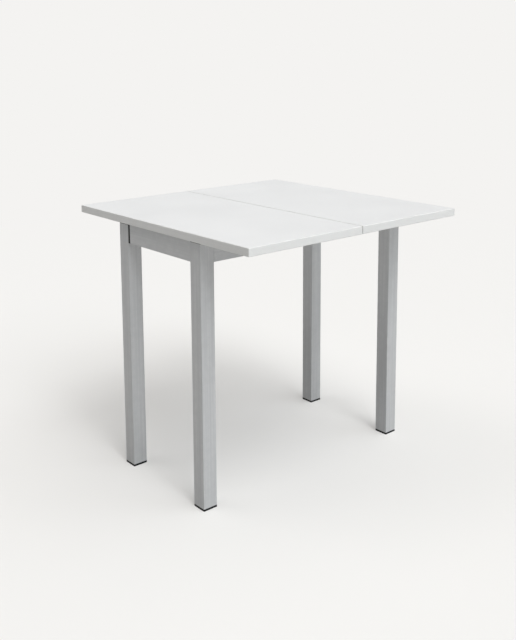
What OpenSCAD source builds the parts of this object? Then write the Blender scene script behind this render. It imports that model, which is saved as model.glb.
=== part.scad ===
// Swivel flip-top table: a square top in two hinged leaves on a narrow tube base.
// Millimetres.  +Z is up; the origin is on the floor below the middle of the open top.
// X runs along the base, Y runs along the seam between the leaves.
// Closed, the folding leaf lies on the main leaf and both turn 90 degrees over the base.

/* [Top] */
// Side of the square top with both leaves open
top_size = 800; // [760:10:840]
// Thickness of one leaf
leaf_t = 22; // [20:0.5:25]
// Gap between the two leaves when they lie flat
seam_gap = 2; // [1:0.25:2]
// Thickness of the strip glued round each leaf's edge
edging_t = 2; // [1.5:0.25:3]
// Radius on the outer edges of that strip
edging_r = 1.5; // [0.5:0.25:1.5]
// Radius on its edges along the seam
seam_r = 0.4; // [0.2:0.1:0.5]
// Radius on the leaf corners at the two ends of the seam
seam_end_r = 3; // [1.5:0.25:3]
// Height of the top surface above the floor
table_h = 765; // [700:5:800]

/* [Base frame] */
// Overhang of the closed top past each end of the base
end_overhang = 9; // [5:1:20]
// Overhang of the closed top past each long side of the base
side_overhang = 5; // [3:1:10]
// Side of the square leg tube
leg_w = 45; // [40:1:50]
// Wall of the leg tube
leg_wall = 2; // [1.5:0.5:3]
// Radius on the long edges of the leg tube
leg_r = 2; // [2:0.5:4]
// Height of the rail tube
rail_h = 56; // [50:1:65]
// Width of the rail tube
rail_w = 20; // [18:1:25]
// Wall of the rail tube
rail_wall = 1.5; // [1.2:0.1:2]
// Visible height of the plastic foot under each leg
foot_h = 6; // [4:1:10]
// Thickness of the plastic block between a short rail and its back leg
spacer_t = 10; // [4:1:12]
// Gap between the base frame and the underside of the top
top_gap = 2; // [2:0.5:3]

/* [Swivel] */
// Width of the crossbar that carries the pivot
bar_w = 60; // [50:2:70]
// Depth of the crossbar
bar_h = 20; // [20:1:25]
// Diameter of the pivot bolt
pivot_d = 10; // [8:1:12]
// Radial running clearance of the bolt in its bush
pivot_clear = 0.07; // [0.05:0.01:0.1]
// Diameter of the steel disc under the main leaf
disc_d = 130; // [120:2:134]

/* [Leaf hinges] */
// Distance between the three concealed hinges
hinge_pitch = 300; // [200:10:340]
// Diameter of a hinge barrel
barrel_d = 16; // [15:0.5:16]
// Length of a hinge barrel
barrel_l = 28; // [24:1:35]

/* [Hidden] */
$fn = 48;

half = top_size / 2;
leaf_w = (top_size - seam_gap) / 2;
leaf_z = table_h - leaf_t;
frame_z = leaf_z - top_gap;
frame_x = half - end_overhang;
frame_y = top_size / 4 - side_overhang;
leg_x = frame_x - leg_w / 2;
leg_y = frame_y - leg_w / 2;
rail_z = frame_z - rail_h;
cap_t = 2;
air = 0.3;

// The pivot sits a quarter of the way across: a quarter turn then centres the main leaf.
leaf_mid = (seam_gap + leaf_w) / 2;
pivot_x = -leaf_mid / 2;
pivot_y = leaf_mid / 2;
disc_t = 4;
disc_z = leaf_z - disc_t;
flange_t = 1.7;
bar_top = disc_z - air - flange_t;
bar_z = bar_top - bar_h;
bar_wall = 2;
bracket_t = 3;
bracket_reach = 30;
bush_d = 16;
peg_d = 8;
sleeve_d = 12;
peg_off = bar_w / 2 + sleeve_d / 2 + air;
disc_screw_r = disc_d / 2 - 12;

bolt_d = 6;
bolt_x = frame_x - rail_w / 2;
bolt_zs = [rail_z + 15, frame_z - 15];
block_l = 25;

hinge_ys = [-hinge_pitch, 0, hinge_pitch];
hinge_z = table_h + 0.25;
barrel_z = table_h - 10;
link_r1 = 9;
link_r2 = 12.5;
link_t = 2.4;
link_gap = 0.4;
link_tip = 78;
link_tail = 62;

steel_grey = [0.70, 0.71, 0.72];
zinc = [0.80, 0.80, 0.78];
white = [0.93, 0.93, 0.92];
edge_white = [0.90, 0.90, 0.89];
black = [0.08, 0.08, 0.09];
nylon = [0.85, 0.84, 0.80];

// ---- shared shapes ----

module rounded_rect(w, d, r) {
    square([w - 2 * r, d], center = true);
    square([w, d - 2 * r], center = true);
    for (sx = [-1, 1], sy = [-1, 1])
        translate([sx * (w / 2 - r), sy * (d / 2 - r)]) circle(r = r);
}

// One radius at the -X corners and a smaller one at the +X corners.
module edge_rect(w, d, outer, inner) {
    intersection() {
        rounded_rect(w, d, inner);
        translate([outer, 0]) rounded_rect(w + 2 * outer, d, outer);
    }
}

module tube(w, d, r, wall, len) {
    linear_extrude(len) difference() {
        rounded_rect(w, d, r);
        rounded_rect(w - 2 * wall, d - 2 * wall, r - wall / 2);
    }
}

// Stands on the XZ plane and runs in +Y.
module along_y() {
    rotate([-90, 0, 0]) children();
}

module along_x() {
    rotate([0, 90, 0]) children();
}

// A curved bar about the Y axis; angles are counted from straight down towards +X.
module arc_bar(r1, r2, a1, a2, y1, y2) {
    reach = r2 * 3;
    translate([0, y2, 0]) rotate([90, 0, 0]) linear_extrude(y2 - y1) intersection() {
        difference() {
            circle(r = r2);
            circle(r = r1);
        }
        polygon(concat([[0, 0]],
            [for (k = [0:4]) let (a = a1 + (a2 - a1) * k / 4) [reach * sin(a), -reach * cos(a)]]));
    }
}

module screw_pan(head_d, head_h, d, len) {
    cylinder(h = head_h, d = head_d);
    translate([0, 0, head_h - 0.01]) cylinder(h = len + 0.01, d = d);
}

// ---- base frame ----

module leg(sx, sy, drilled) {
    color(steel_grey) translate([sx * leg_x, sy * leg_y, foot_h]) difference() {
        tube(leg_w, leg_w, leg_r, leg_wall, frame_z - cap_t - foot_h);
        if (drilled)
            for (z = bolt_zs)
                translate([sx * (bolt_x - leg_x), -leg_w, z - foot_h])
                    along_y() cylinder(h = 2 * leg_w, d = bolt_d + 0.4);
    }
}

module leg_front_left() { leg(-1, -1, false); }
module leg_front_right() { leg(1, -1, false); }
module leg_back_left() { leg(-1, 1, true); }
module leg_back_right() { leg(1, 1, true); }

// A plug that fills the end of a leg tube, with a flange of the tube's own outline.
module leg_plug(flange, depth) {
    inner = leg_w - 2 * leg_wall - 0.2;
    linear_extrude(flange) rounded_rect(leg_w, leg_w, leg_r);
    translate([0, 0, flange - 0.01]) linear_extrude(depth + 0.01) difference() {
        rounded_rect(inner, inner, leg_r - leg_wall / 2);
        rounded_rect(inner - 5, inner - 5, 1);
    }
}

module foot(sx, sy) {
    color(black) translate([sx * leg_x, sy * leg_y, 0]) {
        leg_plug(foot_h, 24);
    }
}

module foot_front_left() { foot(-1, -1); }
module foot_front_right() { foot(1, -1); }
module foot_back_left() { foot(-1, 1); }
module foot_back_right() { foot(1, 1); }

module leg_top_caps() {
    color(black) for (sx = [-1, 1], sy = [-1, 1])
        translate([sx * leg_x, sy * leg_y, frame_z]) mirror([0, 0, 1]) leg_plug(cap_t, 8);
}

glide_xs = [-frame_x + 70, -130, 130, frame_x - 70];
glide_d = 16;
stem_d = 6;

module long_rail(sy) {
    len = 2 * (frame_x - leg_w);
    color(steel_grey) difference() {
        translate([-len / 2, sy * (frame_y - rail_w / 2), rail_z + rail_h / 2])
            along_x() tube(rail_h, rail_w, 2, rail_wall, len);
        for (x = glide_xs)
            translate([x, sy * (frame_y - rail_w / 2), frame_z - 5]) cylinder(h = 10, d = stem_d + 0.1);
        for (dx = [-1, 1])
            translate([pivot_x + dx * bar_w * 0.3, sy * (frame_y - rail_w), bar_z - 13])
                rotate([90, 0, 0]) cylinder(h = 6, d = 5.1, center = true);
    }
}

module long_rail_front() { long_rail(-1); }
module long_rail_back() { long_rail(1); }

short_y1 = -frame_y + leg_w;
short_y2 = frame_y - leg_w - spacer_t;

module short_rail(sx) {
    color(steel_grey) difference() {
        translate([sx * bolt_x, short_y1, rail_z + rail_h / 2])
            along_y() tube(rail_w, rail_h, 2, rail_wall, short_y2 - short_y1);
        translate([sx * bolt_x, 0, frame_z - 5]) cylinder(h = 10, d = stem_d + 0.1);
    }
}

module short_rail_left() { short_rail(-1); }
module short_rail_right() { short_rail(1); }

module rail_spacer(sx) {
    color(black) difference() {
        translate([sx * (bolt_x - 0.5) - (rail_w - 1) / 2, short_y2, rail_z])
            cube([rail_w - 1, spacer_t, rail_h]);
        for (z = bolt_zs)
            translate([sx * bolt_x, short_y2 - 1, z]) along_y() cylinder(h = spacer_t + 2, d = bolt_d + 0.4);
    }
}

module rail_spacer_left() { rail_spacer(-1); }
module rail_spacer_right() { rail_spacer(1); }

// Threaded blocks inside the back end of each short rail.
module rail_end_blocks() {
    w = rail_w - 2 * rail_wall - 0.2;
    h = rail_h - 2 * rail_wall - 0.2;
    color(zinc) for (sx = [-1, 1]) difference() {
        translate([sx * bolt_x, short_y2 - block_l, rail_z + rail_h / 2])
            along_y() linear_extrude(block_l) rounded_rect(w, h, 1.2);
        for (z = bolt_zs)
            translate([sx * bolt_x, short_y2 - block_l - 1, z])
                along_y() cylinder(h = block_l + 2, d = bolt_d + 0.1);
    }
}

// Socket-head bolts: through the back leg and the spacer, into the block in the rail.
module frame_bolts() {
    head_h = 3.3;
    len = leg_w + spacer_t + block_l - 4;
    color(zinc) for (sx = [-1, 1], z = bolt_zs)
        translate([sx * bolt_x, frame_y, z]) difference() {
            union() {
                along_y() cylinder(h = head_h, d = 11);
                translate([0, -len, 0]) along_y() cylinder(h = len + 0.01, d = bolt_d);
            }
            translate([0, head_h - 2, 0]) along_y() cylinder(h = 3, d = 4.6, $fn = 6);
        }
}

module glide_pads() {
    h = top_gap - air;
    color(nylon) {
        for (sy = [-1, 1], x = glide_xs) translate([x, sy * (frame_y - rail_w / 2), frame_z]) glide(h);
        for (sx = [-1, 1]) translate([sx * bolt_x, 0, frame_z]) glide(h);
    }
}

module glide(h) {
    cylinder(h = h, d = glide_d);
    translate([0, 0, -7]) cylinder(h = 7.01, d = stem_d);
}

// ---- swivel bearing on the base ----

module pivot_crossbar() {
    y_end = frame_y - rail_w - bracket_t;
    color(steel_grey) difference() {
        translate([pivot_x, -y_end, bar_z + bar_h / 2])
            along_y() tube(bar_w, bar_h, 2, bar_wall, 2 * y_end);
        translate([pivot_x, pivot_y, bar_z - 1]) cylinder(h = bar_h + 2, d = bush_d + 0.1);
        for (sy = [-1, 1], dx = [-1, 1])
            translate([pivot_x + dx * bar_w * 0.3, sy * (y_end - bracket_reach / 2), bar_z - 1])
                cylinder(h = 4, d = 5.1);
    }
}

module crossbar_bracket(sy) {
    y_rail = frame_y - rail_w;
    w = bar_w;
    drop = 22;
    color(zinc) difference() {
        union() {
            translate([pivot_x - w / 2, sy > 0 ? y_rail - bracket_t : -y_rail, bar_z - drop])
                cube([w, bracket_t, drop + bar_h - 2]);
            translate([pivot_x - w / 2,
                       sy > 0 ? y_rail - bracket_t - bracket_reach : -y_rail + bracket_t - 0.01,
                       bar_z - bracket_t])
                cube([w, bracket_reach + 0.01, bracket_t]);
        }
        for (dx = [-1, 1]) {
            translate([pivot_x + dx * w * 0.3, sy * y_rail, bar_z - 13])
                rotate([90, 0, 0]) cylinder(h = 12, d = 5.4, center = true);
            translate([pivot_x + dx * w * 0.3, sy * (y_rail - bracket_t - bracket_reach / 2), bar_z - 5])
                cylinder(h = 8, d = 5.4);
        }
    }
}

module crossbar_bracket_front() { crossbar_bracket(-1); }
module crossbar_bracket_back() { crossbar_bracket(1); }

module bracket_screws() {
    y_rail = frame_y - rail_w;
    color(zinc) for (sy = [-1, 1], dx = [-1, 1]) {
        translate([pivot_x + dx * bar_w * 0.3, sy * (y_rail - bracket_t - 3), bar_z - 13])
            rotate([-sy * 90, 0, 0]) screw_pan(9, 3, 5, 10);
        translate([pivot_x + dx * bar_w * 0.3, sy * (y_rail - bracket_t - bracket_reach / 2),
                   bar_z - bracket_t - 3])
            screw_pan(9, 3, 5, 10);
    }
}

// Flanged bush: the swivel disc turns on its flange and the bolt turns in its bore.
module pivot_bush() {
    color(nylon) translate([pivot_x, pivot_y, bar_z]) difference() {
        union() {
            cylinder(h = bar_h + 0.01, d = bush_d);
            translate([0, 0, bar_h]) cylinder(h = flange_t, d = 40);
        }
        translate([0, 0, -1]) cylinder(h = bar_h + flange_t + 2, d = pivot_d + 2 * pivot_clear);
    }
}

// ---- leaves ----

// Everything on the -X side; the folding leaf mirrors it.
module hinge_cavity() {
    for (y = hinge_ys) {
        translate([-seam_gap / 2 - barrel_l - 0.5, y, barrel_z])
            along_x() cylinder(h = barrel_l + 2, d = barrel_d + 0.1);
        translate([0, y, hinge_z]) link_slot();
    }
}

module link_slot() {
    w = link_t + link_gap / 2 + air;
    arc_bar(link_r1 - air, link_r2 + air, -link_tip - 2, 2, -w, w);
}

module leaf_board() {
    translate([-half + edging_t, -half + edging_t, leaf_z])
        cube([leaf_w - 2 * edging_t, top_size - 2 * edging_t, leaf_t]);
}

module leaf_core() {
    difference() {
        leaf_board();
        hinge_cavity();
    }
}

// The whole leaf's outline, with the radii on its edges and its four corners.
module leaf_outline() {
    translate([-half + leaf_w / 2, 0, leaf_z]) intersection() {
        translate([0, -half, leaf_t / 2])
            along_y() linear_extrude(top_size) edge_rect(leaf_w, leaf_t, edging_r, seam_r);
        translate([-leaf_w / 2, 0, leaf_t / 2])
            along_x() linear_extrude(leaf_w) rounded_rect(leaf_t, top_size, edging_r);
        linear_extrude(leaf_t)
            mirror([1, 0, 0]) edge_rect(leaf_w, top_size, seam_end_r, edging_r);
    }
}

module leaf_edging() {
    difference() {
        leaf_outline();
        leaf_board();
        hinge_cavity();
    }
}

module hinge_barrels() {
    for (y = hinge_ys) difference() {
        translate([-seam_gap / 2 - barrel_l, y, barrel_z])
            along_x() cylinder(h = barrel_l, d = barrel_d);
        translate([0, y, hinge_z]) link_slot();
    }
}

module main_leaf() {
    color(white) difference() {
        leaf_core();
        translate([pivot_x, pivot_y, leaf_z - 1]) cylinder(h = 8, d = 22);
        for (a = [0:60:300])
            translate([pivot_x, pivot_y, leaf_z - 1]) rotate(a)
                translate([disc_screw_r, 0, 0]) cylinder(h = 15, d = 4.1);
    }
}

module main_leaf_edging() { color(edge_white) leaf_edging(); }
module hinge_barrels_main() { color(zinc) hinge_barrels(); }
module folding_leaf() { color(white) mirror([1, 0, 0]) leaf_core(); }
module folding_leaf_edging() { color(edge_white) mirror([1, 0, 0]) leaf_edging(); }
module hinge_barrels_folding() { color(zinc) mirror([1, 0, 0]) hinge_barrels(); }

// Curved links: each set slides in the slots of the barrels and turns about the top edge.
module hinge_links_main() {
    color(zinc) for (y = hinge_ys) translate([0, y, hinge_z])
        arc_bar(link_r1, link_r2, -link_tip, link_tail, -link_t - link_gap / 2, -link_gap / 2);
}

module hinge_links_folding() {
    color(zinc) for (y = hinge_ys) translate([0, y, hinge_z])
        arc_bar(link_r1, link_r2, -link_tail, link_tip, link_gap / 2, link_t + link_gap / 2);
}

// ---- swivel parts on the main leaf ----

module swivel_disc() {
    color(zinc) difference() {
        translate([pivot_x, pivot_y, disc_z]) cylinder(h = disc_t, d = disc_d);
        translate([pivot_x, pivot_y, disc_z - 1]) cylinder(h = disc_t + 2, d = pivot_d + 0.1);
        translate([pivot_x + peg_off, pivot_y - peg_off, disc_z - 1])
            cylinder(h = disc_t + 2, d = peg_d + 0.1);
        for (a = [0:60:300])
            translate([pivot_x, pivot_y, disc_z]) rotate(a) translate([disc_screw_r, 0, 0]) {
                translate([0, 0, -1]) cylinder(h = disc_t + 2, d = 4.6);
                translate([0, 0, -0.01]) cylinder(h = 2.2, d1 = 8.8, d2 = 4.6);
            }
    }
}

module disc_screws() {
    color(zinc) for (a = [0:60:300])
        translate([pivot_x, pivot_y, disc_z]) rotate(a) translate([disc_screw_r, 0, 0.1])
            difference() {
                union() {
                    cylinder(h = 2, d1 = 8, d2 = 4);
                    cylinder(h = disc_t + 12, d = 4);
                }
                for (r = [0, 90]) rotate(r) translate([-2, -0.4, -0.01]) cube([4, 0.8, 1]);
            }
}

module pivot_bolt() {
    len = leaf_z - bar_z + 16;
    color(zinc) translate([pivot_x, pivot_y, leaf_z]) {
        cylinder(h = 5, d = 20);
        translate([0, 0, -len]) cylinder(h = len + 0.01, d = pivot_d);
    }
}

module pivot_washer() {
    color(zinc) translate([pivot_x, pivot_y, bar_z - air - 2]) difference() {
        cylinder(h = 2, d = 26);
        translate([0, 0, -1]) cylinder(h = 4, d = pivot_d + 0.2);
    }
}

module pivot_nut() {
    color(zinc) translate([pivot_x, pivot_y, bar_z - air - 12]) difference() {
        union() {
            cylinder(h = 8, d = 19.6, $fn = 6);
            translate([0, 0, -2]) cylinder(h = 2.01, d = 15);
        }
        translate([0, 0, -3]) cylinder(h = 14, d = pivot_d + 0.1);
    }
}

// The peg meets the side of the crossbar at both ends of a quarter turn.
module stop_peg() {
    color(zinc) translate([pivot_x + peg_off, pivot_y - peg_off, bar_z + 3])
        cylinder(h = leaf_z - bar_z - 3, d = peg_d);
}

module stop_sleeve() {
    color(black) translate([pivot_x + peg_off, pivot_y - peg_off, bar_z + 3]) difference() {
        cylinder(h = disc_z - bar_z - 3.5, d = sleeve_d);
        translate([0, 0, -1]) cylinder(h = bar_h + 4, d = peg_d + 0.1);
    }
}

// ---- nodes ----

leg_front_left();
leg_front_right();
leg_back_left();
leg_back_right();
foot_front_left();
foot_front_right();
foot_back_left();
foot_back_right();
leg_top_caps();
long_rail_front();
long_rail_back();
short_rail_left();
short_rail_right();
rail_spacer_left();
rail_spacer_right();
rail_end_blocks();
frame_bolts();
glide_pads();
pivot_crossbar();
crossbar_bracket_front();
crossbar_bracket_back();
bracket_screws();
pivot_bush();
main_leaf();
main_leaf_edging();
swivel_disc();
disc_screws();
pivot_bolt();
pivot_washer();
pivot_nut();
stop_peg();
stop_sleeve();
hinge_barrels_main();
folding_leaf();
folding_leaf_edging();
hinge_barrels_folding();
hinge_links_main();
hinge_links_folding();
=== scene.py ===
"""Finishes, welds, studio and camera for the flip-top table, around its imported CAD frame.

Units are metres. The frame is the CAD's: +Z up, the floor at 0, X along the base and Y along
the seam between the leaves.
"""

import math
import random

import bmesh
import bpy
from mathutils import Matrix, Vector


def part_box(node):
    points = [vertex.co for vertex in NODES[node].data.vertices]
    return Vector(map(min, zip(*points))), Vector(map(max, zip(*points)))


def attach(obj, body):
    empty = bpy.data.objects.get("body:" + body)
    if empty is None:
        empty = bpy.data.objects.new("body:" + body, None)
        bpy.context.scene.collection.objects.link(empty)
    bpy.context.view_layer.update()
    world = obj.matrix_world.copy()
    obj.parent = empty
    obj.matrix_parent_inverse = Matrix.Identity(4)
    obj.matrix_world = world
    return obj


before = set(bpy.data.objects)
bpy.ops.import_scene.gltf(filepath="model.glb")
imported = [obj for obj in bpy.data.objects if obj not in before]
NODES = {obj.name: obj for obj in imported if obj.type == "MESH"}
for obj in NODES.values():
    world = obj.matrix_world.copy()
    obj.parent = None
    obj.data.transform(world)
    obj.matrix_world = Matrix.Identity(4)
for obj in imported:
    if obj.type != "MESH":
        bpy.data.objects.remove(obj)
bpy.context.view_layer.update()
MM = 0.001
UP = Vector((0, 0, 1))


def put_in_scene(name, data):
    obj = bpy.data.objects.new(name, data)
    bpy.context.scene.collection.objects.link(obj)
    return obj


# ---- camera ----

# Yaw turns from +Y towards +X, pitch is downwards, and roll lifts the camera's right side.
# Lens and sensor are in millimetres.
CAMERA_AT = (-1.716, -1.967, 1.234)
YAW, PITCH, ROLL = (math.radians(a) for a in (39.87, 8.64, -0.41))
LENS, SENSOR = 49.32, 36
SHIFT_X, SHIFT_Y = 0.019, -0.214
SEES_TO = 100


def place_camera():
    level_reach = math.cos(PITCH)
    ahead = Vector((math.sin(YAW) * level_reach, math.cos(YAW) * level_reach, -math.sin(PITCH)))
    level = Vector((math.cos(YAW), -math.sin(YAW), 0))
    upright = level.cross(ahead)
    right = level * math.cos(ROLL) + upright * math.sin(ROLL)
    up = upright * math.cos(ROLL) - level * math.sin(ROLL)
    data = bpy.data.cameras.new("camera")
    data.lens = LENS
    data.sensor_width = SENSOR
    data.shift_x = SHIFT_X
    data.shift_y = SHIFT_Y
    data.clip_end = SEES_TO
    camera = put_in_scene("camera", data)
    turn = Matrix((right, up, -ahead)).transposed().to_4x4()
    camera.matrix_world = Matrix.Translation(CAMERA_AT) @ turn
    bpy.context.scene.camera = camera


# ---- node helpers ----

# The Mix node has an A, a B and a Result for each data type, so its colour sockets go by number.
MIX_A, MIX_B, MIX_RESULT = 6, 7, 2


class Nodes:
    """A material's node tree, with short calls for the nodes used here."""

    def __init__(self, name):
        self.material = bpy.data.materials.new(name)
        self.material.use_nodes = True
        self.tree = self.material.node_tree
        self.tree.nodes.clear()
        self.out = self.add("ShaderNodeOutputMaterial")

    def add(self, kind, **settings):
        node = self.tree.nodes.new(kind)
        for key, value in settings.items():
            setattr(node, key, value)
        return node

    def link(self, a, b):
        self.tree.links.new(a, b)

    def place(self, scale=(1, 1, 1)):
        """The shared frame's coordinates, which ride with a piece because its object does."""
        coords = self.add("ShaderNodeTexCoord")
        mapping = self.add("ShaderNodeMapping")
        mapping.inputs["Scale"].default_value = scale
        self.link(coords.outputs["Object"], mapping.inputs["Vector"])
        return mapping.outputs["Vector"]

    def noise(self, vector, scale, detail=3.0, rough=0.5):
        """Noise with about this many waves per metre."""
        node = self.add("ShaderNodeTexNoise")
        node.inputs["Scale"].default_value = scale
        node.inputs["Detail"].default_value = detail
        node.inputs["Roughness"].default_value = rough
        self.link(vector, node.inputs["Vector"])
        return node.outputs["Fac"]

    def cells(self, vector, scale):
        node = self.add("ShaderNodeTexVoronoi")
        node.inputs["Scale"].default_value = scale
        self.link(vector, node.inputs["Vector"])
        return node

    def spread(self, value, low, high, to_low=0.0, to_high=1.0):
        node = self.add("ShaderNodeMapRange")
        node.inputs["From Min"].default_value = low
        node.inputs["From Max"].default_value = high
        node.inputs["To Min"].default_value = to_low
        node.inputs["To Max"].default_value = to_high
        self.link(value, node.inputs["Value"])
        return node.outputs["Result"]

    def widen(self, value, to_low=0.0, to_high=1.0):
        """Spreads the part of its range that a noise mostly keeps to."""
        return self.spread(value, 0.3, 0.7, to_low, to_high)

    def math(self, how, a, b):
        node = self.add("ShaderNodeMath", operation=how)
        for socket, value in zip(node.inputs, (a, b)):
            if isinstance(value, (int, float)):
                socket.default_value = value
            else:
                self.link(value, socket)
        return node.outputs["Value"]

    def mix(self, fac, a, b):
        """Colour mix; a and b are colours or sockets."""
        node = self.add("ShaderNodeMix", data_type="RGBA")
        self.link(fac, node.inputs["Factor"])
        for socket, value in ((node.inputs[MIX_A], a), (node.inputs[MIX_B], b)):
            if isinstance(value, tuple):
                socket.default_value = (*value, 1)
            else:
                self.link(value, socket)
        return node.outputs[MIX_RESULT]

    def bump(self, height, distance, strength):
        node = self.add("ShaderNodeBump")
        node.inputs["Strength"].default_value = strength
        node.inputs["Distance"].default_value = distance
        self.link(height, node.inputs["Height"])
        return node.outputs["Normal"]

    def surface(self, color, rough, normal, **constants):
        """The finished material. Constants are named as their sockets are, with _ for a space."""
        shader = self.add("ShaderNodeBsdfPrincipled")
        for key, value in constants.items():
            shader.inputs[key.replace("_", " ")].default_value = value
        self.link(color, shader.inputs["Base Color"])
        self.link(rough, shader.inputs["Roughness"])
        self.link(normal, shader.inputs["Normal"])
        self.link(shader.outputs["BSDF"], self.out.inputs["Surface"])
        return self.material


# ---- finishes ----

# Each finish starts with its colours, in linear RGB.

def white_board():
    """Melamine-faced board: a fine pearl texture, a faint cloudiness and a little dust."""
    dim, bright, dusty = (0.783, 0.785, 0.787), (0.803, 0.805, 0.806), (0.73, 0.725, 0.71)
    n = Nodes("white_board")
    at = n.place()
    cloud = n.noise(at, 5, detail=4)
    pearl = n.noise(at, 900, detail=2, rough=0.6)
    dust = n.spread(n.noise(at, 260, detail=1), 0.70, 0.78)
    color = n.mix(n.widen(cloud), dim, bright)
    color = n.mix(n.math("MULTIPLY", dust, 0.35), color, dusty)
    rough = n.math("ADD", n.widen(cloud, 0.46, 0.52), n.widen(pearl, -0.03, 0.03))
    return n.surface(color, rough, n.bump(pearl, 0.05 * MM, 0.6), Specular_IOR_Level=0.2)


def white_edging():
    """Plastic edge strip: a little warmer and smoother than the board, drawn along its length."""
    dim, bright = (0.780, 0.780, 0.768), (0.805, 0.805, 0.795)
    n = Nodes("white_edging")
    at = n.place()
    drawn = n.noise(n.place((2, 2, 900)), 1, detail=2)
    cloud = n.noise(at, 14, detail=3)
    color = n.mix(n.widen(cloud), dim, bright)
    rough = n.math("ADD", n.widen(drawn, 0.34, 0.42), n.widen(cloud, -0.02, 0.02))
    return n.surface(color, rough, n.bump(drawn, 0.03 * MM, 0.5))


def frame_paint(name="frame_paint", axis=2):
    """Silver-grey powder paint: metal flakes in a matt coat with a soft orange peel.

    It is faintly mottled, and streaks of the drawn tube show through it along the given axis."""
    dim, bright = (0.586, 0.592, 0.598), (0.614, 0.620, 0.626)
    mottled, streaked, flake = (0.660, 0.664, 0.668), (0.528, 0.533, 0.543), (0.690, 0.697, 0.703)
    n = Nodes(name)
    at = n.place()
    cloud = n.noise(at, 7, detail=4)
    mottle = n.noise(at, 55, detail=3, rough=0.6)
    waves = [170, 170, 170]
    waves[axis] = 2.5
    streaks = n.noise(n.place(waves), 1, detail=3, rough=0.6)
    split = n.add("ShaderNodeSeparateColor")
    n.link(n.cells(at, 2600).outputs["Color"], split.inputs["Color"])
    spark = split.outputs["Red"]
    peel = n.noise(at, 420, detail=2, rough=0.45)
    color = n.mix(n.widen(cloud), dim, bright)
    color = n.mix(n.spread(mottle, 0.38, 0.62, 0, 0.6), color, mottled)
    color = n.mix(n.spread(streaks, 0.38, 0.62, 0, 0.65), color, streaked)
    color = n.mix(n.math("MULTIPLY", spark, 0.28), color, flake)
    rough = n.math("ADD", n.widen(cloud, 0.39, 0.44), n.spread(spark, 0, 1, -0.05, 0.05))
    return n.surface(color, rough, n.bump(peel, 0.06 * MM, 0.6), Metallic=0.3)


def black_plastic():
    """Moulded plastic: a fine grain and slightly paler scuffs."""
    black, scuffed = (0.006, 0.006, 0.007), (0.014, 0.014, 0.015)
    n = Nodes("black_plastic")
    at = n.place()
    grain = n.cells(at, 1700).outputs["Distance"]
    scuff = n.noise(at, 60, detail=5, rough=0.65)
    color = n.mix(n.spread(scuff, 0.45, 0.75), black, scuffed)
    rough = n.widen(scuff, 0.50, 0.64)
    return n.surface(color, rough, n.bump(grain, 0.06 * MM, 0.5), Specular_IOR_Level=0.3)


def nylon():
    """Uncoloured nylon, slightly uneven in tone and gloss."""
    dim, bright = (0.66, 0.64, 0.59), (0.72, 0.70, 0.66)
    n = Nodes("nylon")
    at = n.place()
    cloud = n.noise(at, 180, detail=4)
    color = n.mix(n.widen(cloud), dim, bright)
    rough = n.widen(cloud, 0.36, 0.50)
    return n.surface(color, rough, n.bump(cloud, 0.05 * MM, 0.5))


def plated_steel():
    """Bright zinc: a cloudy grain with fine rolling lines."""
    bluish, yellowish = (0.60, 0.62, 0.65), (0.74, 0.74, 0.72)
    n = Nodes("plated_steel")
    at = n.place()
    cloud = n.noise(at, 90, detail=5, rough=0.6)
    lines = n.noise(n.place((1400, 60, 60)), 1, detail=2)
    color = n.mix(n.widen(cloud), bluish, yellowish)
    rough = n.math("ADD", n.widen(cloud, 0.24, 0.38), n.widen(lines, -0.04, 0.04))
    return n.surface(color, rough, n.bump(lines, 0.02 * MM, 0.4), Metallic=1.0)


def rubber():
    """Dull rubber with a pale bloom."""
    black, bloomed = (0.018, 0.018, 0.018), (0.045, 0.044, 0.042)
    n = Nodes("rubber")
    at = n.place()
    grain = n.noise(at, 1500, detail=3, rough=0.6)
    bloom = n.noise(at, 40, detail=4)
    color = n.mix(n.spread(bloom, 0.4, 0.7), black, bloomed)
    rough = n.widen(bloom, 0.72, 0.88)
    return n.surface(color, rough, n.bump(grain, 0.08 * MM, 0.6))


FINISHES = (white_board, white_edging, frame_paint, black_plastic, nylon, plated_steel, rubber)


def paint_nodes():
    """Puts a finish on every node by its slot's name, and returns the finishes.

    The legs' streaks run up and down, and a rail's or the crossbar's run along it."""
    made = {finish.__name__: finish() for finish in FINISHES}
    lengthwise = {"long_rail": frame_paint("frame_paint_long", 0),
                  "short_rail": frame_paint("frame_paint_short", 1),
                  "pivot_crossbar": frame_paint("frame_paint_bar", 1)}
    for name, node in NODES.items():
        for place in node.material_slots:
            place.material = made[place.material.name.split(".")[0]]
            for start, paint in lengthwise.items():
                if name.startswith(start):
                    place.material = paint
    return made


# ---- welds ----

LEG_RADIUS = 2 * MM
RAIL_RADIUS = 2 * MM
LONG_RAILS_SUNK = 1.0 * MM
WELD_SEED = 11

# A bead is laid in overlapping puddles, which differ in size and swell in the middle. It is
# smaller at its two ends, and grows from there by END_GROWTH of its full size a step.
BEAD = 2.6 * MM
BEAD_ROOT = 0.3 * MM
BEAD_SIDES = 6
PUDDLE = 2.2 * MM
PUDDLE_STEPS = 4
PUDDLES_DIFFER = 0.08
PUDDLE_SWELL = 0.1
END_SIZE, END_GROWTH = 0.4, 0.15

GROOVE_SIDES = 5
GROOVE_DIFFERS = 0.15
SHARP_FROM = math.radians(35)


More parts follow.
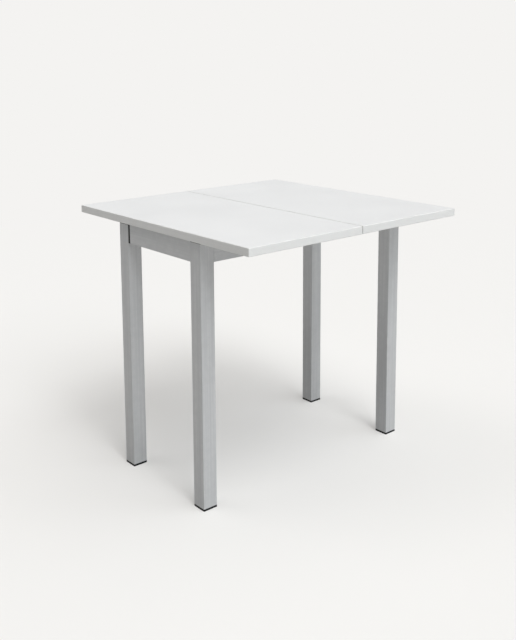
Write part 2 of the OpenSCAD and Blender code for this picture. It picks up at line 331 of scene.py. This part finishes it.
def rail_edge(corner, inward, width, height):
    """Points and outward normals round a rail's end: down its inner side and along its bottom.

    The corner is the top of the rail's end on its outer face."""
    r = RAIL_RADIUS
    down, turn, under = height - 2 * r, r * math.pi / 2, width - 2 * r
    steps = round((down + turn + under) / (PUDDLE / PUDDLE_STEPS))
    for i in range(steps + 1):
        s = i / steps * (down + turn + under)
        if s < down:
            yield corner + inward * width - UP * (r + s), inward
        elif s < down + turn:
            a = (s - down) / r
            out = inward * math.cos(a) - UP * math.sin(a)
            yield corner + inward * (width - r) - UP * (height - r) + out * r, out
        else:
            yield corner + inward * (width - r - (s - down - turn)) - UP * height, -UP


def loft(bm, rings):
    """Closed skin over rings of equally many points."""
    rows = [[bm.verts.new(p) for p in ring] for ring in rings]
    n = len(rows[0])
    for a, b in zip(rows, rows[1:]):
        for i in range(n):
            bm.faces.new((a[i], a[(i + 1) % n], b[(i + 1) % n], b[i])).smooth = True
    bm.faces.new(rows[0][::-1])
    bm.faces.new(rows[-1])


def bead_rings(path, along, rng):
    """A rippled fillet between the leg's face and the rail, halfway between round and flat."""
    path = list(path)
    puddles = [1 + rng.uniform(-PUDDLES_DIFFER, PUDDLES_DIFFER)
               for _ in range(len(path) // PUDDLE_STEPS + 2)]
    for i, (at, out) in enumerate(path):
        near_end = min(i, len(path) - 1 - i)
        ripple = PUDDLE_SWELL * math.sin(math.pi * (i % PUDDLE_STEPS) / PUDDLE_STEPS)
        size = BEAD * puddles[i // PUDDLE_STEPS] * (1 - PUDDLE_SWELL + ripple)
        size *= min(1, END_SIZE + END_GROWTH * near_end)
        root = at - (out + along) * BEAD_ROOT
        ring = [root]
        for k in range(BEAD_SIDES + 1):
            a = math.pi / (2 * BEAD_SIDES) * k
            flat = 1 / (math.cos(a) + math.sin(a))
            towards = out * math.cos(a) + along * math.sin(a)
            ring.append(root + towards * size * (1 + flat) / 2)
        yield ring


def groove_rings(corner, inward, along, height, sunk, rng):
    """Weld metal down the groove that the leg's rounded edge leaves beside a rail's outer face."""
    steps = round(height / (PUDDLE / 2))
    for i in range(steps + 1):
        at = corner - UP * height * i / steps
        depth = sunk * (1 + rng.uniform(-GROOVE_DIFFERS, GROOVE_DIFFERS))
        first = math.acos(1 - depth / LEG_RADIUS)
        ring = [at + inward * depth]
        for k in range(GROOVE_SIDES + 1):
            a = first + (math.pi / 2 - first) * k / GROOVE_SIDES
            inside = inward * LEG_RADIUS * (1 - math.cos(a))
            ring.append(at + inside + along * LEG_RADIUS * (math.sin(a) - 1))
        yield ring


def weld(name, rail, axis, end, side, sunk, rng, paint):
    """The weld at one end of a rail that runs along axis 0 or 1.

    End and side are -1 or 1, and the side is the one that the rail's outer face is on."""
    lo, hi = (Vector(v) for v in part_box(rail))
    across = 1 - axis
    along = Vector((0, 0, 0))
    along[axis] = -end
    inward = Vector((0, 0, 0))
    inward[across] = -side
    corner = Vector((0, 0, hi.z))
    corner[axis] = (hi if end > 0 else lo)[axis]
    corner[across] = (hi if side > 0 else lo)[across]
    width, height = hi[across] - lo[across], hi.z - lo.z
    bm = bmesh.new()
    loft(bm, bead_rings(rail_edge(corner, inward, width, height), along, rng))
    loft(bm, groove_rings(corner, inward, along, height, sunk, rng))
    bmesh.ops.recalc_face_normals(bm, faces=bm.faces)
    mesh = bpy.data.meshes.new(name)
    bm.to_mesh(mesh)
    bm.free()
    mesh.set_sharp_from_angle(angle=SHARP_FROM)
    mesh.materials.append(paint)
    piece = put_in_scene(name, mesh)
    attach(piece, "base")


def welds(paint):
    """Ground flush where the short rails meet the front legs, and sunk at the long rails."""
    rng = random.Random(WELD_SEED)
    for side, word in ((-1, "left"), (1, "right")):
        weld(f"weld_short_{word}", f"short_rail_{word}", 1, -1, side, 0.0, rng, paint)
    for side, face in ((-1, "front"), (1, "back")):
        for end, word in ((-1, "left"), (1, "right")):
            weld(f"weld_long_{face}_{word}", f"long_rail_{face}", 0, end, side,
                 LONG_RAILS_SUNK, rng, paint)


# ---- studio ----

BACKGROUND = (0.905, 0.896, 0.880)
FLOOR_RADIUS, FLOOR_SIDES = 40, 96
FLOOR_FADES_FROM, FLOOR_FADES_TO = 1.8, 4  # metres from the middle of the table
FLOOR_COLOR = (0.576, 0.569, 0.558)
FLOOR_GLOW = 0.28
BOUNCE_COLOR = (0.535, 0.530, 0.520)
AIR_COLOR = (0.97, 0.985, 1.0)
AIR_STRENGTH = 0.08


def studio_floor():
    """A wide pale floor that goes over into the background's colour away from the table.

    The camera sees it with a glow of its own, and the table gets plain bounced light from it."""
    mesh = bpy.data.meshes.new("studio_floor")
    bm = bmesh.new()
    bmesh.ops.create_circle(bm, cap_ends=True, radius=FLOOR_RADIUS, segments=FLOOR_SIDES)
    bm.to_mesh(mesh)
    bm.free()
    floor = put_in_scene("studio_floor", mesh)

    n = Nodes("studio_floor")
    far = n.add("ShaderNodeVectorMath", operation="LENGTH")
    n.link(n.place(), far.inputs[0])
    edge = n.spread(far.outputs["Value"], FLOOR_FADES_FROM, FLOOR_FADES_TO)
    lit = n.add("ShaderNodeBsdfDiffuse")
    lit.inputs["Color"].default_value = (*FLOOR_COLOR, 1)
    glow = n.add("ShaderNodeEmission")
    glow.inputs["Color"].default_value = (*BACKGROUND, 1)
    glow.inputs["Strength"].default_value = FLOOR_GLOW
    both = n.add("ShaderNodeAddShader")
    n.link(lit.outputs["BSDF"], both.inputs[0])
    n.link(glow.outputs["Emission"], both.inputs[1])
    plain = n.add("ShaderNodeEmission")
    plain.inputs["Color"].default_value = (*BACKGROUND, 1)
    seen = n.add("ShaderNodeMixShader")
    n.link(edge, seen.inputs["Fac"])
    n.link(both.outputs["Shader"], seen.inputs[1])
    n.link(plain.outputs["Emission"], seen.inputs[2])
    bounce = n.add("ShaderNodeBsdfDiffuse")
    bounce.inputs["Color"].default_value = (*BOUNCE_COLOR, 1)
    path = n.add("ShaderNodeLightPath")
    final = n.add("ShaderNodeMixShader")
    n.link(path.outputs["Is Camera Ray"], final.inputs["Fac"])
    n.link(bounce.outputs["BSDF"], final.inputs[1])
    n.link(seen.outputs["Shader"], final.inputs[2])
    n.link(final.outputs["Shader"], n.out.inputs["Surface"])
    mesh.materials.append(n.material)


def studio_air():
    """The backdrop beyond the floor, and the weak light that it gives from all round."""
    world = bpy.data.worlds.new("studio")
    bpy.context.scene.world = world
    world.use_nodes = True
    tree = world.node_tree
    tree.nodes.clear()
    path = tree.nodes.new("ShaderNodeLightPath")
    seen = tree.nodes.new("ShaderNodeBackground")
    seen.inputs["Color"].default_value = (*BACKGROUND, 1)
    fill = tree.nodes.new("ShaderNodeBackground")
    fill.inputs["Color"].default_value = (*AIR_COLOR, 1)
    fill.inputs["Strength"].default_value = AIR_STRENGTH
    pick = tree.nodes.new("ShaderNodeMixShader")
    out = tree.nodes.new("ShaderNodeOutputWorld")
    tree.links.new(path.outputs["Is Camera Ray"], pick.inputs["Fac"])
    tree.links.new(fill.outputs["Background"], pick.inputs[1])
    tree.links.new(seen.outputs["Background"], pick.inputs[2])
    tree.links.new(pick.outputs["Shader"], out.inputs["Surface"])


NEUTRAL = (1.0, 1.0, 1.0)
COOL = (0.93, 0.985, 1.02)
WARM = (1.04, 1.0, 0.95)

# Soft boxes too far off for their light to fall away over the table: name, bearing, height and
# how wide they look, all in degrees, then strength and colour. Bearing 0 is the front (-Y), and
# 90 is the right (+X).
SOFT_BOXES = (
    ("key", -15, 50, 25, 0.95, NEUTRAL),
    ("front", 0, 35, 25, 0.56, COOL),
    ("front_high", 0, 65, 25, 0.60, NEUTRAL),
    ("right_low", 45, 10, 35, 0.34, COOL),
    ("right_high", 45, 50, 35, 0.55, COOL),
    ("right", 90, 50, 35, 0.22, NEUTRAL),
    ("back_left", -135, 50, 35, 0.36, NEUTRAL),
    ("top", 0, 90, 60, 0.85, WARM),
)


def soft_box(name, bearing, height, width, strength, color):
    data = bpy.data.lights.new(name, "SUN")
    data.energy = strength
    data.color = color
    data.angle = math.radians(width)
    turn, rise = math.radians(bearing), math.radians(height)
    level_reach = math.cos(rise)
    towards = Vector((math.sin(turn) * level_reach, -math.cos(turn) * level_reach, math.sin(rise)))
    put_in_scene(name, data).rotation_euler = towards.to_track_quat("Z", "Y").to_euler()


def light():
    for name, *values in SOFT_BOXES:
        soft_box("softbox_" + name, *values)


bpy.context.scene.view_settings.view_transform = "Standard"
place_camera()
studio_floor()
studio_air()
light()
made = paint_nodes()
welds(made["frame_paint"])
